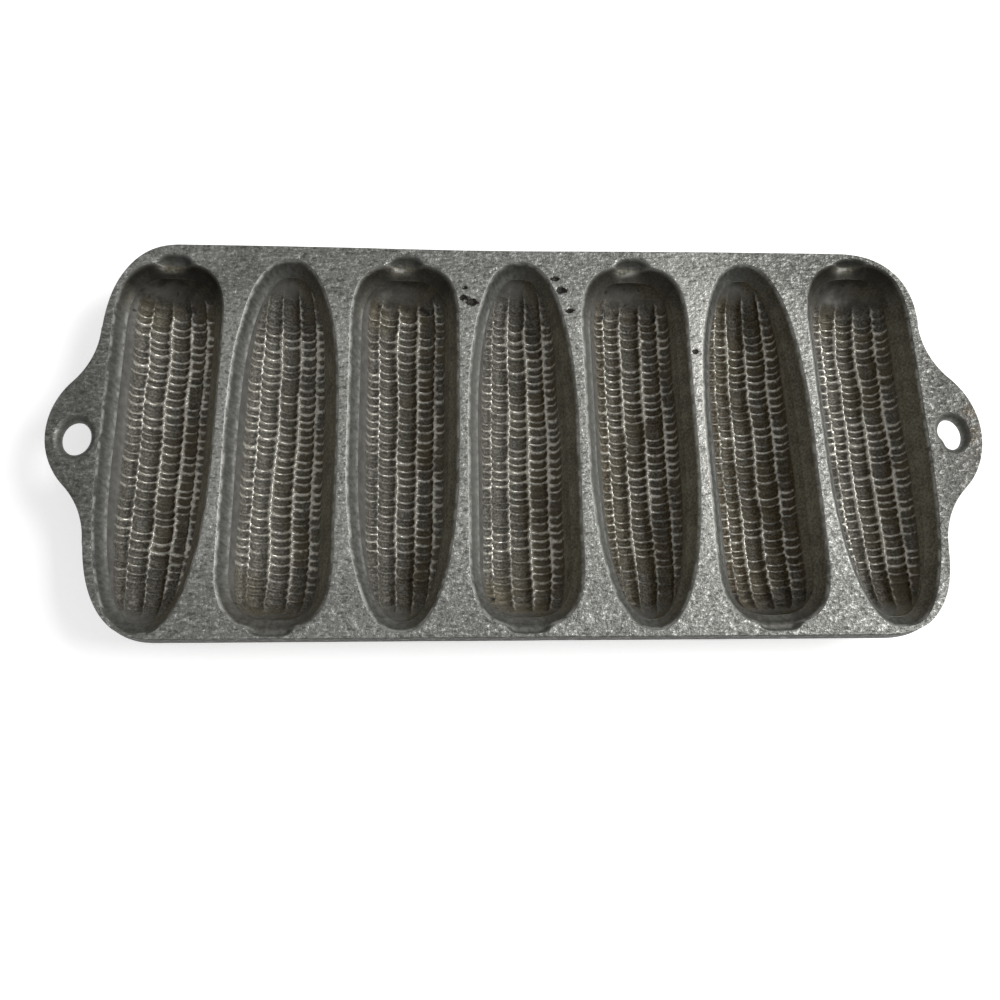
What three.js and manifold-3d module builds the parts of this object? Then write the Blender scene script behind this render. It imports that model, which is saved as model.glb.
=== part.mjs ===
// A cast aluminium cornstick pan: a flat deck with a hanging ear at each end, and seven moulds shaped
// like half ears of corn hung below it, lying butt to tip in turn. Millimetres, +Z up. The origin is
// on the table, under the middle of the deck.
import * as THREE from "three";
import { mergeVertices } from "three/addons/utils/BufferGeometryUtils.js";
import Module from "manifold-3d";

// Driving dimensions: the plate
const BODY_LENGTH = 303.6;
const BODY_DEPTH = 147.9;
const PAN_HEIGHT = 22;
const DECK_THICKNESS = 5.5;
const CORNER_RADIUS = 26;
const EDGE_ROUND = 1; // worn edge of the casting
const EAR_CENTRE = 140; // from the middle of the pan
const EAR_RADIUS = 28.9;
const EAR_FILLET = 30;
const EAR_ROOT = 0.5; // the ear starts this far outside the body's side
const HANG_HOLE = { x: 158, y: -0.9, width: 9.8, length: 12 };
const SEAM_GAP = 0.3; // clearance where one region of the casting ends and the next begins

// Driving dimensions: the moulds
const MOULD_COUNT = 7;
const MOULD_PITCH = 43.15;
const MOULD_SHIFT = -1.8; // the row of moulds lies nearer the near edge
const FAN_DEGREES = 0.45; // each mould is turned this much from its neighbour
const MOUTH = { halfWidth: 19.6, tip: 69.3, butt: 67.9 }; // outline on top of the deck
const THROAT = { halfWidth: 16.4, tip: 65.3, butt: 64.4 }; // outline on the underside of the deck
const BOWL_DEPTH = 11.5; // from the underside of the deck to the ridges between the kernels
const WALL = 3.6;
const FOOT_HALF_WIDTH = 4.6; // flat land that each mould stands on
const TIP_SHOULDER = 0; // where the sides start to draw in towards the tip
const BUTT_SHOULDER = -42;
const TIP_POWER = 2.35; // roundness of an end in plan, 2 being an ellipse
const CORNER_TIP_POWER = 2.8; // on the outer side of the first and the last mould
const BUTT_POWER = 2.9;
const KEEL = { tipFrom: 10, tipPower: 2.3, buttFrom: -25, buttPower: 3 }; // bottom line, seen from the side
const STEM = { rootHalfWidth: 9, endHalfWidth: 6.7, end: 70.6, depth: 4, draft: 1.6 }; // stub of the stalk

// Driving dimensions: the corn
const KERNELS_PER_ROW = 40;
const CORN_FROM = -59.5;
const CORN_TO = 62.5;
const ROW_EDGES_DEG = [12, 36]; // from straight down; the outermost rows run up to the rim
const KERNEL_RELIEF = 0.9; // kernel hollows below the ridges
const KERNEL_END_SHARE = 0.22; // sloping share at each end of a kernel

const DECK_BOTTOM = PAN_HEIGHT - DECK_THICKNESS;
const MOULD_TOP = DECK_BOTTOM - SEAM_GAP;
const DECK_END = BODY_LENGTH / 2 + EAR_ROOT;

const wasm = await Module();
wasm.setup();

// Solids and geometry

function indexedGeometry(points, triangles) {
  const geometry = new THREE.BufferGeometry().setFromPoints(points);
  geometry.setIndex(triangles.flat());
  return geometry;
}

function solidOf(geometry) {
  geometry.deleteAttribute("normal");
  geometry.deleteAttribute("uv");
  const merged = mergeVertices(geometry, 1e-4);
  const vertProperties = new Float32Array(merged.attributes.position.array);
  const triVerts = new Uint32Array(merged.index.array);
  return new wasm.Manifold(new wasm.Mesh({ numProp: 3, vertProperties, triVerts }));
}

function geometryOf(solid) {
  const { vertProperties, triVerts } = solid.getMesh();
  const geometry = new THREE.BufferGeometry();
  geometry.setAttribute("position", new THREE.BufferAttribute(vertProperties, 3));
  geometry.setIndex(new THREE.BufferAttribute(triVerts, 1));
  return geometry;
}

// Plate: the deck and the two ears in one thickness

function arcPoints(x, y, radiusX, radiusY, from, to, steps) {
  return new THREE.EllipseCurve(x, y, radiusX, radiusY, from, to, to < from).getPoints(steps);
}

// The right-hand half of the outline, from the near corner round the ear to the far corner
function rightHalfOutline() {
  const cornerX = BODY_LENGTH / 2 - CORNER_RADIUS;
  const cornerY = BODY_DEPTH / 2 - CORNER_RADIUS;
  const filletX = BODY_LENGTH / 2 + EAR_FILLET;
  const filletY = Math.sqrt((EAR_RADIUS + EAR_FILLET) ** 2 - (filletX - EAR_CENTRE) ** 2);
  const flank = Math.atan2(filletY, filletX - EAR_CENTRE);
  const round = (x, y, radius, from, to, steps) => arcPoints(x, y, radius, radius, from, to, steps);
  return [
    ...round(cornerX, -cornerY, CORNER_RADIUS, -Math.PI / 2, 0, 8),
    ...round(filletX, -filletY, EAR_FILLET, Math.PI, Math.PI - flank, 5).slice(0, -1),
    ...round(EAR_CENTRE, 0, EAR_RADIUS, -flank, flank, 10),
    ...round(filletX, filletY, EAR_FILLET, Math.PI + flank, Math.PI, 5).slice(1),
    ...round(cornerX, cornerY, CORNER_RADIUS, 0, Math.PI / 2, 8),
  ];
}

function plateSolid() {
  const right = rightHalfOutline();
  const left = right.map((p) => p.clone().negate());
  const shape = new THREE.Shape([...right, ...left]);
  for (const side of [-1, 1]) {
    const { x, y, width, length } = HANG_HOLE;
    const ring = arcPoints(side * x, y, width / 2, length / 2, 2 * Math.PI, 0, 20);
    shape.holes.push(new THREE.Path(ring.slice(1)));
  }
  const geometry = new THREE.ExtrudeGeometry(shape, {
    depth: DECK_THICKNESS - 2 * EDGE_ROUND,
    bevelThickness: EDGE_ROUND,
    bevelSize: EDGE_ROUND,
    bevelOffset: -EDGE_ROUND,
    bevelSegments: 2,
  });
  return solidOf(geometry.translate(0, 0, DECK_BOTTOM + EDGE_ROUND));
}

function slab(fromX, toX) {
  const geometry = new THREE.BoxGeometry(toX - fromX, 2 * BODY_DEPTH, 3 * PAN_HEIGHT);
  return solidOf(geometry.translate((fromX + toX) / 2, 0, 0));
}

// Mould mouth, with the tip of the corn towards +Y

// The first and the last mould are fuller towards the pan's corner, on the side of x given by cornerSide
function tipPower(x, cornerSide) {
  return x * cornerSide > 0 ? CORNER_TIP_POWER : TIP_POWER;
}

// A closed outline, counter-clockwise, spaced by angle so that both ends stay round
function mouldOutline(outline, cornerSide) {
  const steps = 12;
  const half = (direction, shoulder, reach, powerAt) =>
    Array.from({ length: steps + 1 }, (_, i) => {
      const angle = (Math.PI * i) / steps;
      const power = powerAt(Math.cos(angle));
      const across = Math.sign(Math.cos(angle)) * Math.abs(Math.cos(angle)) ** (2 / power);
      const along = Math.abs(Math.sin(angle)) ** (2 / power);
      return new THREE.Vector2(direction * outline.halfWidth * across, shoulder + direction * reach * along);
    });
  return [
    ...half(1, TIP_SHOULDER, outline.tip - TIP_SHOULDER, (x) => tipPower(x, cornerSide)),
    ...half(-1, BUTT_SHOULDER, outline.butt + BUTT_SHOULDER, () => BUTT_POWER),
  ];
}

// The stem recess runs from inside the mould to a rounded end near the edge of the deck
function stemOutline(inset) {
  const root = STEM.rootHalfWidth - inset;
  const corner = 2;
  const cornerX = STEM.endHalfWidth - inset - corner;
  const cornerY = corner - STEM.end + inset;
  return [
    new THREE.Vector2(root, BUTT_SHOULDER),
    new THREE.Vector2(-root, BUTT_SHOULDER),
    new THREE.Vector2(-root, -MOUTH.butt + 1),
    ...arcPoints(-cornerX, cornerY, corner, corner, Math.PI, 1.5 * Math.PI, 4),
    ...arcPoints(cornerX, cornerY, corner, corner, 1.5 * Math.PI, 2 * Math.PI, 4),
    new THREE.Vector2(root, -MOUTH.butt + 1),
  ];
}

// Solid with a straight draft from a lower outline to an upper one, carried on past the level topZ
function draftedSolid(lower, lowZ, upper, topZ) {
  const overrun = 1.2;
  const count = lower.length;
  const raised = lower.map((p, i) => p.clone().lerp(upper[i], overrun));
  const raisedZ = lowZ + overrun * (topZ - lowZ);
  const points = [
    ...lower.map((p) => new THREE.Vector3(p.x, p.y, lowZ)),
    ...raised.map((p) => new THREE.Vector3(p.x, p.y, raisedZ)),
  ];
  const triangles = [];
  for (let i = 0; i < count; i++) {
    const next = (i + 1) % count;
    triangles.push([i, next, count + next], [i, count + next, count + i]);
  }
  for (const [a, b, c] of THREE.ShapeUtils.triangulateShape(lower, [])) {
    triangles.push([c, b, a], [count + a, count + b, count + c]);
  }
  return solidOf(indexedGeometry(points, triangles));
}

function mouthCutter(cornerSide) {
  const throat = mouldOutline(THROAT, cornerSide);
  const mouth = mouldOutline(MOUTH, cornerSide);
  const overrun = 0.2;
  const below = throat.map((p, i) => p.clone().lerp(mouth[i], -overrun));
  const opening = draftedSolid(below, DECK_BOTTOM - overrun * DECK_THICKNESS, mouth, PAN_HEIGHT);
  const stem = draftedSolid(stemOutline(STEM.draft), PAN_HEIGHT - STEM.depth, stemOutline(0), PAN_HEIGHT);
  return opening.add(stem);
}

// Mould bowl below the deck, with the tip of the corn towards +Y

function roundedEnd(share, power) {
  return Math.max(0, 1 - share ** power) ** (1 / power);
}

function halfWidthAt(y, outline, power) {
  if (y > TIP_SHOULDER) {
    return outline.halfWidth * roundedEnd((y - TIP_SHOULDER) / (outline.tip - TIP_SHOULDER), power);
  }
  if (y < BUTT_SHOULDER) {
    return outline.halfWidth * roundedEnd((BUTT_SHOULDER - y) / (outline.butt + BUTT_SHOULDER), BUTT_POWER);
  }
  return outline.halfWidth;
}

// Share of the full depth at y, falling to nothing at both ends
function keelShare(y, outline) {
  if (y > KEEL.tipFrom) {
    return roundedEnd((y - KEEL.tipFrom) / (outline.tip - KEEL.tipFrom), KEEL.tipPower);
  }
  if (y < KEEL.buttFrom) {
    return roundedEnd((KEEL.buttFrom - y) / (outline.butt + KEEL.buttFrom), KEEL.buttPower);
  }
  return 1;
}

// Half angle at the rim of a round section with this half width and depth
function rimAngle(halfWidth, depth) {
  return 2 * Math.atan2(depth, halfWidth);
}

// Point of a round section at an angle from straight down, sunk below the surface by relief
function sectionPoint(y, angle, outline, depth, relief) {
  const rim = rimAngle(outline.halfWidth, depth);
  const drop = (Math.cos(angle) - Math.cos(rim)) / (1 - Math.cos(rim));
  const halfWidth = halfWidthAt(y, outline, tipPower(angle, outline.cornerSide));
  const x = (halfWidth * Math.sin(angle)) / Math.sin(rim);
  const z = MOULD_TOP - depth * keelShare(y, outline) * drop;
  return new THREE.Vector3(x + relief * Math.sin(angle), y, z - relief * Math.cos(angle));
}

// Stations along an outline, close together where the ends turn in
function stations(outline, steps) {
  const middle = (outline.tip - outline.butt) / 2;
  const reach = (outline.tip + outline.butt) / 2;
  return Array.from({ length: steps - 1 }, (_, i) => middle - reach * Math.cos((Math.PI * (i + 1)) / steps));
}

// Triangles facing up between rings that run from left to right, in order from the butt to the tip
function stripTriangles(rings) {
  const triangles = [];
  for (let r = 0; r + 1 < rings.length; r++) {
    for (let c = 0; c + 1 < rings[r].length; c++) {
      const [a, b] = [rings[r][c], rings[r][c + 1]];
      const [d, e] = [rings[r + 1][c], rings[r + 1][c + 1]];
      triangles.push([a, b, e], [a, e, d]);
    }
  }
  return triangles;
}

function fanTriangles(pole, ring) {
  return ring.slice(1).map((_, c) => [pole, ring[c], ring[c + 1]]);
}

// One kernel is a hollow with a hipped floor between the ridges at its four corners
function kernelTriangles(a, b, d, e, floorLeft, floorRight) {
  return [
    [a, b, floorRight],
    [a, floorRight, floorLeft],
    [d, floorLeft, floorRight],
    [d, floorRight, e],
    [a, floorLeft, d],
    [b, e, floorRight],
  ];
}

// Rim of a surface, counter-clockwise seen from above
function rimLoop(buttPole, rings, tipPole) {
  const right = rings.map((ring) => ring[ring.length - 1]);
  const left = rings.map((ring) => ring[0]).reverse();
  return [buttPole, ...right, tipPole, ...left];
}

function innerSurface(points, outline) {
  const rim = rimAngle(outline.halfWidth, BOWL_DEPTH);
  const inner = ROW_EDGES_DEG.map((degrees) => THREE.MathUtils.degToRad(degrees));
  const edges = [-rim, -inner[1], -inner[0], inner[0], inner[1], rim];
  const pitch = (CORN_TO - CORN_FROM) / KERNELS_PER_ROW;
  const add = (y, angle, relief) => points.push(sectionPoint(y, angle, outline, BOWL_DEPTH, relief)) - 1;
  const ringAt = (y) => edges.map((angle) => add(y, angle, 0));

  const plain = stations(outline, 24);
  const butt = plain.filter((y) => y < CORN_FROM - pitch / 4).map(ringAt);
  const corn = Array.from({ length: KERNELS_PER_ROW + 1 }, (_, k) => ringAt(CORN_FROM + k * pitch));
  const tip = plain.filter((y) => y > CORN_TO + pitch / 4).map(ringAt);
  const buttPole = points.push(new THREE.Vector3(0, -outline.butt, MOULD_TOP)) - 1;
  const tipPole = points.push(new THREE.Vector3(0, outline.tip, MOULD_TOP)) - 1;

  const triangles = [...stripTriangles([...butt, corn[0]]), ...stripTriangles([corn.at(-1), ...tip])];
  for (let k = 0; k < KERNELS_PER_ROW; k++) {
    const y = CORN_FROM + (k + 0.5) * pitch;
    for (let row = 0; row + 1 < edges.length; row++) {
      const slope = KERNEL_END_SHARE * (edges[row + 1] - edges[row]);
      const floorLeft = add(y, edges[row] + slope, KERNEL_RELIEF);
      const floorRight = add(y, edges[row + 1] - slope, KERNEL_RELIEF);
      const near = corn[k].slice(row, row + 2);
      const far = corn[k + 1].slice(row, row + 2);
      triangles.push(...kernelTriangles(...near, ...far, floorLeft, floorRight));
    }
  }
  const rings = [...butt, ...corn, ...tip];
  triangles.push(...fanTriangles(buttPole, [...rings[0]].reverse()), ...fanTriangles(tipPole, rings.at(-1)));
  return { triangles, rim: rimLoop(buttPole, rings, tipPole) };
}

function outerSurface(points, outline) {
  const depth = MOULD_TOP + FOOT_HALF_WIDTH ** 2 / (2 * outline.halfWidth);
  const rim = rimAngle(outline.halfWidth, depth);
  const foot = Math.acos(Math.cos(rim) + (1 - Math.cos(rim)) * (MOULD_TOP / depth));
  const side = [0, 0.25, 0.5, 0.75, 1].map((share) => THREE.MathUtils.lerp(foot, rim, share));
  const angles = [...side.map((angle) => -angle).reverse(), ...side];
  const add = (y, angle) => points.push(sectionPoint(y, angle, outline, depth, 0)) - 1;

  const rings = stations(outline, 16).map((y) => angles.map((angle) => add(y, angle)));
  const buttPole = points.push(new THREE.Vector3(0, -outline.butt, MOULD_TOP)) - 1;
  const tipPole = points.push(new THREE.Vector3(0, outline.tip, MOULD_TOP)) - 1;
  const ends = [...fanTriangles(buttPole, [...rings[0]].reverse()), ...fanTriangles(tipPole, rings.at(-1))];
  const triangles = [...stripTriangles(rings), ...ends].map((triangle) => triangle.reverse());
  return { triangles, rim: rimLoop(buttPole, rings, tipPole) };
}

function mouldGeometry(cornerSide) {
  const points = [];
  const inner = innerSurface(points, { ...THROAT, cornerSide });
  const outer = outerSurface(points, {
    halfWidth: THROAT.halfWidth + WALL,
    tip: THROAT.tip + WALL,
    butt: THROAT.butt + WALL,
    cornerSide,
  });
  const hole = [...inner.rim].reverse();
  const loop = [...outer.rim, ...hole];
  const flat = (index) => new THREE.Vector2(points[index].x, points[index].y);
  const top = THREE.ShapeUtils.triangulateShape(outer.rim.map(flat), [hole.map(flat)]);
  const rimFace = top.map((triangle) => triangle.map((corner) => loop[corner]));
  return indexedGeometry(points, [...inner.triangles, ...outer.triangles, ...rimFace]);
}

// Assembly

const CAST = new THREE.MeshStandardMaterial({ color: 0x7e7d79, roughness: 0.55, metalness: 0.9 });
const pan = new THREE.Group();

function addPart(name, geometry) {
  const mesh = new THREE.Mesh(geometry, CAST);
  mesh.name = name;
  pan.add(mesh);
  return mesh;
}

// Odd moulds have the butt on the far side, even moulds on the near side.
const moulds = Array.from({ length: MOULD_COUNT }, (_, i) => {
  const fromMiddle = i - (MOULD_COUNT - 1) / 2;
  return {
    name: `corn_mould_${i + 1}`,
    x: fromMiddle * MOULD_PITCH,
    turnDegrees: (i % 2 === 0 ? 180 : 0) + fromMiddle * FAN_DEGREES,
    cornerSide: i === 0 ? 1 : i === MOULD_COUNT - 1 ? -1 : 0,
  };
});

const plate = plateSolid();
let deck = plate.intersect(slab(-DECK_END, DECK_END));
for (const { x, turnDegrees, cornerSide } of moulds) {
  const cutter = mouthCutter(cornerSide).rotate([0, 0, turnDegrees]);
  deck = deck.subtract(cutter.translate([x, MOULD_SHIFT, 0]));
}
addPart("deck_plate", geometryOf(deck));

for (const { name, x, turnDegrees, cornerSide } of moulds) {
  const mould = addPart(name, mouldGeometry(cornerSide));
  mould.position.set(x, MOULD_SHIFT, 0);
  mould.rotation.z = THREE.MathUtils.degToRad(turnDegrees);
}

const earFrom = DECK_END + SEAM_GAP;
addPart("ear_handle_left", geometryOf(plate.intersect(slab(-BODY_LENGTH, -earFrom))));
addPart("ear_handle_right", geometryOf(plate.intersect(slab(earFrom, BODY_LENGTH))));

export default pan;
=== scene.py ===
import math

import bmesh
import bpy
import numpy as np
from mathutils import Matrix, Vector, kdtree, noise
from mathutils.geometry import delaunay_2d_cdt


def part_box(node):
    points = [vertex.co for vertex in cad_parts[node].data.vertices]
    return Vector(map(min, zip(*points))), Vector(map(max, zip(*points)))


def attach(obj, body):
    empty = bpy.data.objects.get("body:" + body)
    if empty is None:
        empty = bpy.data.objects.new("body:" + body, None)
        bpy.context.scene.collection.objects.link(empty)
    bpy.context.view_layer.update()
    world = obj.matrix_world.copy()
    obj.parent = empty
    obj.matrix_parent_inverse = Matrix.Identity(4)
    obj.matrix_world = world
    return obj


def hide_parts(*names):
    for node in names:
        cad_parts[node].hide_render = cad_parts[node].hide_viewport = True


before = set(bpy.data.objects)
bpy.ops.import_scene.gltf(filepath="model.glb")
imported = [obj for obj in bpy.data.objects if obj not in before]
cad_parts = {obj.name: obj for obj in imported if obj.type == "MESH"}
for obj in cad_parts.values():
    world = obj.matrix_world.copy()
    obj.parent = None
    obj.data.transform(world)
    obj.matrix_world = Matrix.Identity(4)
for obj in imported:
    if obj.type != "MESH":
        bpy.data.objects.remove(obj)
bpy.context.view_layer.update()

# Camera
# It looks down on the pan from the near side, a little left of the middle, as a hand-held camera does.
# The lens takes in the whole pan with a wide margin above and below it.
DECK_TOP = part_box("deck_plate")[1].z
CAMERA_PLACE = (-0.0300, -0.11785, DECK_TOP + 0.3388)
CAMERA_TURN_DEG = (15.34, -3.23, -1.11)
CAMERA_LENS = 36.0
CAMERA_SENSOR = 36.0

camera_data = bpy.data.cameras.new("camera")
camera_data.lens = CAMERA_LENS
camera_data.sensor_width = CAMERA_SENSOR
camera_data.clip_start = 0.01
camera = bpy.data.objects.new("camera", camera_data)
camera.location = CAMERA_PLACE
camera.rotation_euler = [math.radians(angle) for angle in CAMERA_TURN_DEG]
bpy.context.collection.objects.link(camera)
bpy.context.scene.camera = camera


# Corn moulds
# Seven bowls, each the print of half an ear of corn, cast in one with the deck. Ridges stand between
# the kernels, five rows wide, and fade out on the smooth skin towards the butt and the tip.
MM = 0.001
DECK_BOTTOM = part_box("deck_plate")[0].z
MOULD_PITCH = 43.15 * MM
MOULD_SHIFT = -1.8 * MM
MIDDLE_MOULD = 4
LAST_MOULD = 7
LAST_MOULD_LONGER = 2.4 * MM
FAN = math.radians(0.45)
THROAT = {"half": 16.25 * MM, "tip": 65.3 * MM, "butt": 64.3 * MM}
BOWL_DEPTH = 11.6 * MM
BOWL_RADIUS = 17.0 * MM
WALL = 3.6 * MM
BUTT_SHOULDER = -42.0 * MM
TIP_POWER = 2.35
CORNER_TIP_POWER = 2.65
BUTT_POWER = 2.9
KEEL_TIP_FROM = 10.0 * MM
KEEL_BUTT_FROM = -25.0 * MM
KEEL_TIP_POWER = 2.3
KEEL_BUTT_POWER = 2.4
HALF_ROWS = 2.5
ROW_OFFSET = 0.1
ROW_ANGLE = math.radians(24.0)
ROW_DEPTH = 1.5 * MM
KERNEL_PITCH = 3.1 * MM
KERNEL_DEPTH = 1.2 * MM
LUMP_HEIGHT = 0.5 * MM
LONG_RIDGE_HALF = 0.7 * MM
INNER_COLUMNS = 112
OUTER_COLUMNS = 36
MOULD_ROWS = 440
# How sooty and how burnt each mould is, from left to right
GRIME = (1.1, 0.82, 1.12, 0.88, 1.33, 1.45, 1.02)
SCORCH = (1.0, 0.6, 0.78, 0.35, 0.7, 0.7, 0.9)
SKIN = ((0.138, 0.136, 0.124, 1), (0.205, 0.202, 0.185, 1))
OUTSIDE_SKIN = ((0.150, 0.150, 0.140, 1), (0.330, 0.330, 0.312, 1))
CORN_SKIN = ((0.090, 0.085, 0.068, 1), (0.255, 0.246, 0.215, 1))
GREY_SOOT_AND_SHADE = ((0.018, 0.015, 0.010, 1), (0.116, 0.106, 0.082, 1))
BROWN_SOOT_AND_SHADE = ((0.021, 0.014, 0.005, 1), (0.145, 0.108, 0.048, 1))
GREASE_AND_BOUNCE_LIGHT = ((0.090, 0.083, 0.057, 1), (0.228, 0.211, 0.158, 1))
BURNT_FAT = (0.014, 0.012, 0.009, 1)
BROWNED_SKIN = (0.152, 0.127, 0.078, 1)
WORN_RIDGE_AND_HIGHLIGHT = (0.86, 0.835, 0.745, 1)


def join(value, socket):
    if isinstance(value, Wire):
        socket.id_data.links.new(value.socket, socket)
    else:
        socket.default_value = value


class Wire:
    """A socket of a node tree. Operators on it add Math nodes to the same tree."""

    def __init__(self, socket):
        self.socket = socket
        self.tree = socket.id_data

    @staticmethod
    def node(tree, kind, settings, sockets, output=0):
        made = tree.nodes.new(kind)
        for name, value in settings.items():
            setattr(made, name, value)
        for name, value in sockets.items():
            join(value, made.inputs[name])
        return Wire(made.outputs[output])

    def output(self, name):
        return Wire(self.socket.node.outputs[name])

    def math(self, operation, *others):
        values = dict(enumerate((self, *others)))
        return Wire.node(self.tree, "ShaderNodeMath", {"operation": operation}, values)

    def before(self, operation, first):
        return Wire.node(self.tree, "ShaderNodeMath", {"operation": operation}, {0: first, 1: self})

    def __add__(self, other):
        return self.math("ADD", other)

    __radd__ = __add__

    def __sub__(self, other):
        return self.math("SUBTRACT", other)

    def __rsub__(self, other):
        return self.before("SUBTRACT", other)

    def __mul__(self, other):
        return self.math("MULTIPLY", other)

    __rmul__ = __mul__

    def __truediv__(self, other):
        return self.math("DIVIDE", other)

    def __rtruediv__(self, other):
        return self.before("DIVIDE", other)

    def __pow__(self, other):
        return self.math("POWER", other)

    def __lt__(self, other):
        return self.math("LESS_THAN", other)

    def step(self, low, high, start=0.0, end=1.0):
        values = {"Value": self, "From Min": low, "From Max": high, "To Min": start, "To Max": end}
        return Wire.node(self.tree, "ShaderNodeMapRange", {"interpolation_type": "SMOOTHSTEP"}, values)


def vector(tree, x, y, z):
    return Wire.node(tree, "ShaderNodeCombineXYZ", {}, {"X": x, "Y": y, "Z": z})


def noise_at(tree, place, scale, detail=2.0, roughness=0.5):
    values = {"Vector": place, "Scale": scale, "Detail": detail, "Roughness": roughness}
    return Wire.node(tree, "ShaderNodeTexNoise", {}, values)


def rounded_end(share, power):
    """How wide a rounded end still is, from 1 where it starts to 0 at its point."""
    return (1.0 - share.math("MAXIMUM", 0.0) ** power).math("MAXIMUM", 0.0) ** (1.0 / power)


def bell(distance, width):
    """Bell curve that is 1 at no distance."""
    return ((distance / width) ** 2.0 * -1.0).math("EXPONENT")


def corn_mould_tree():
    """A closed bowl: one sheet bent into the kernelled inside, the rim and the plain outside."""
    tree = bpy.data.node_groups.new("corn_mould", "GeometryNodeTree")
    names = ("Half Width", "Tip", "Butt", "Depth", "Wall", "Outer Depth", "Rim Height", "Kernel Pitch",
             "Row Depth", "Kernel Depth", "Row Angle", "Across", "Shift", "Lean", "Turn", "Corner Side",
             "Grime", "Scorch", "Seed")
    sockets = {name: tree.interface.new_socket(name, in_out="INPUT", socket_type="NodeSocketFloat")
               for name in names}
    sockets["Finish"] = tree.interface.new_socket(
        "Finish", in_out="INPUT", socket_type="NodeSocketMaterial")
    tree.interface.new_socket("Mould", in_out="OUTPUT", socket_type="NodeSocketGeometry")
    entry = tree.nodes.new("NodeGroupInput")
    given = {name: Wire(entry.outputs[name]) for name in sockets}

    # The sheet, whose columns run round the bowl and whose rows run from butt to tip
    columns = INNER_COLUMNS + OUTER_COLUMNS
    sheet = Wire.node(tree, "GeometryNodeMeshGrid", {}, {
        "Size X": 1.0, "Size Y": 1.0, "Vertices X": columns + 1, "Vertices Y": MOULD_ROWS})
    flat = Wire.node(tree, "ShaderNodeSeparateXYZ", {}, {
        "Vector": Wire.node(tree, "GeometryNodeInputPosition", {}, {})})
    column = ((flat + 0.5) * columns).math("ROUND").math("FLOORED_MODULO", columns)
    lengthwise = flat.output("Y") + 0.5
    inside = column < INNER_COLUMNS - 0.5

    def inner_or_outer(inner, outer):
        return outer + inside * (inner - outer)

    # The bowl's form, without kernels
    half = inner_or_outer(given["Half Width"], given["Half Width"] + given["Wall"])
    tip = inner_or_outer(given["Tip"], given["Tip"] + given["Wall"])
    butt = inner_or_outer(given["Butt"], given["Butt"] + given["Wall"])
    depth = inner_or_outer(given["Depth"], given["Outer Depth"])
    rim = depth.math("ARCTAN2", half) * 2.0
    inner_turn = column * (2.0 / (INNER_COLUMNS - 1)) - 1.0
    outer_turn = 1.0 - (column - INNER_COLUMNS) * (2.0 / (OUTER_COLUMNS - 1))
    angle = rim * inner_or_outer(inner_turn, outer_turn)
    spread = (lengthwise * 2.0 - 1.0) * 0.8 - (lengthwise * math.pi).math("COSINE") * 0.2
    y = (tip - butt) * 0.5 + (tip + butt) * 0.5 * spread
    at_corner = (angle * given["Corner Side"]).math("GREATER_THAN", 0.0)
    tip_power = TIP_POWER + at_corner * (CORNER_TIP_POWER - TIP_POWER)
    narrowing = rounded_end(y / tip, tip_power)
    narrowing = narrowing * rounded_end((BUTT_SHOULDER - y) / (butt + BUTT_SHOULDER), BUTT_POWER)
    keel = rounded_end((y - KEEL_TIP_FROM) / (tip - KEEL_TIP_FROM), KEEL_TIP_POWER)
    keel = keel * rounded_end((KEEL_BUTT_FROM - y) / (butt + KEEL_BUTT_FROM), KEEL_BUTT_POWER)
    sine = angle.math("SINE")
    cosine = angle.math("COSINE")
    rim_cosine = rim.math("COSINE")
    x = half * narrowing * sine / rim.math("SINE")
    z = given["Rim Height"] - depth * keel * (cosine - rim_cosine) / (1.0 - rim_cosine)

    # Rows of kernels, which sway a little, and the kernels of each row
    seed_step = given["Seed"] * 3.7
    sway = noise_at(tree, vector(tree, y * 45.0, angle * 0.7, seed_step), 1.0) - 0.5
    row = angle * narrowing ** 0.65 / given["Row Angle"] + (HALF_ROWS + ROW_OFFSET) + sway * 0.4
    row_number = row.math("FLOOR")
    across = row - row_number
    row_width = given["Row Angle"] * BOWL_RADIUS * narrowing ** 0.35
    from_row_edge = across.math("MINIMUM", 1.0 - across) * row_width
    station = y / given["Kernel Pitch"]
    crowding = noise_at(tree, vector(tree, station * 0.6, row_number * 5.3, seed_step), 1.0) - 0.5
    slant = noise_at(tree, vector(tree, station * 0.4, row_number * 3.1, seed_step + 50.0), 1.0) - 0.5
    bow = (across * 2.0 - 1.0) ** 2.0
    kernel = station + row_number * 0.37 + crowding * 1.1 + slant * (across - 0.5) * 0.6
    kernel = kernel - bow * 0.18 * given["Turn"]
    along = kernel - kernel.math("FLOOR")
    from_kernel_edge = along.math("MINIMUM", 1.0 - along) * given["Kernel Pitch"]

    def chance_at(number):
        return Wire.node(
            tree, "ShaderNodeTexWhiteNoise", {"noise_dimensions": "3D"}, {"Vector": number})

    chance = chance_at(vector(tree, kernel.math("ROUND"), row_number, seed_step))
    fullness = chance_at(vector(tree, kernel.math("FLOOR"), row_number, seed_step + 0.5))

    # Where the corn fades into the smooth skin, counting the rows from the pan's left
    turn = given["Turn"]
    from_left = HALF_ROWS + (row - HALF_ROWS) * turn
    first_kernels = y.step(-62.0 * MM - turn * MM, -58.0 * MM - turn * 2.0 * MM)
    corn_end = first_kernels * y.step(57.0 * MM, 64.0 * MM, 1.0, 0.0)
    kernel_end = y.step(-61.0 * MM, -52.0 * MM - turn * 3.0 * MM, 0.15, 1.0)
    kernel_end = kernel_end * y.step(42.0 * MM, 60.0 * MM, 1.0, 0.25)
    rim_strip = angle.math("ABSOLUTE").step(math.radians(58), math.radians(64), 1.0, 0.0)
    row_end = from_left.step(-0.15, 0.4) * from_left.step(4.7, 5.1, 1.0, 0.0)
    corn = corn_end * row_end * rim_strip * inside
    sunk = from_left.step(-0.2, 1.0) * from_left.step(4.2, 5.0, 1.0, 0.0)
    sunk = sunk * y.step(-62.0 * MM, -55.0 * MM - turn * 2.0 * MM)

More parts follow.
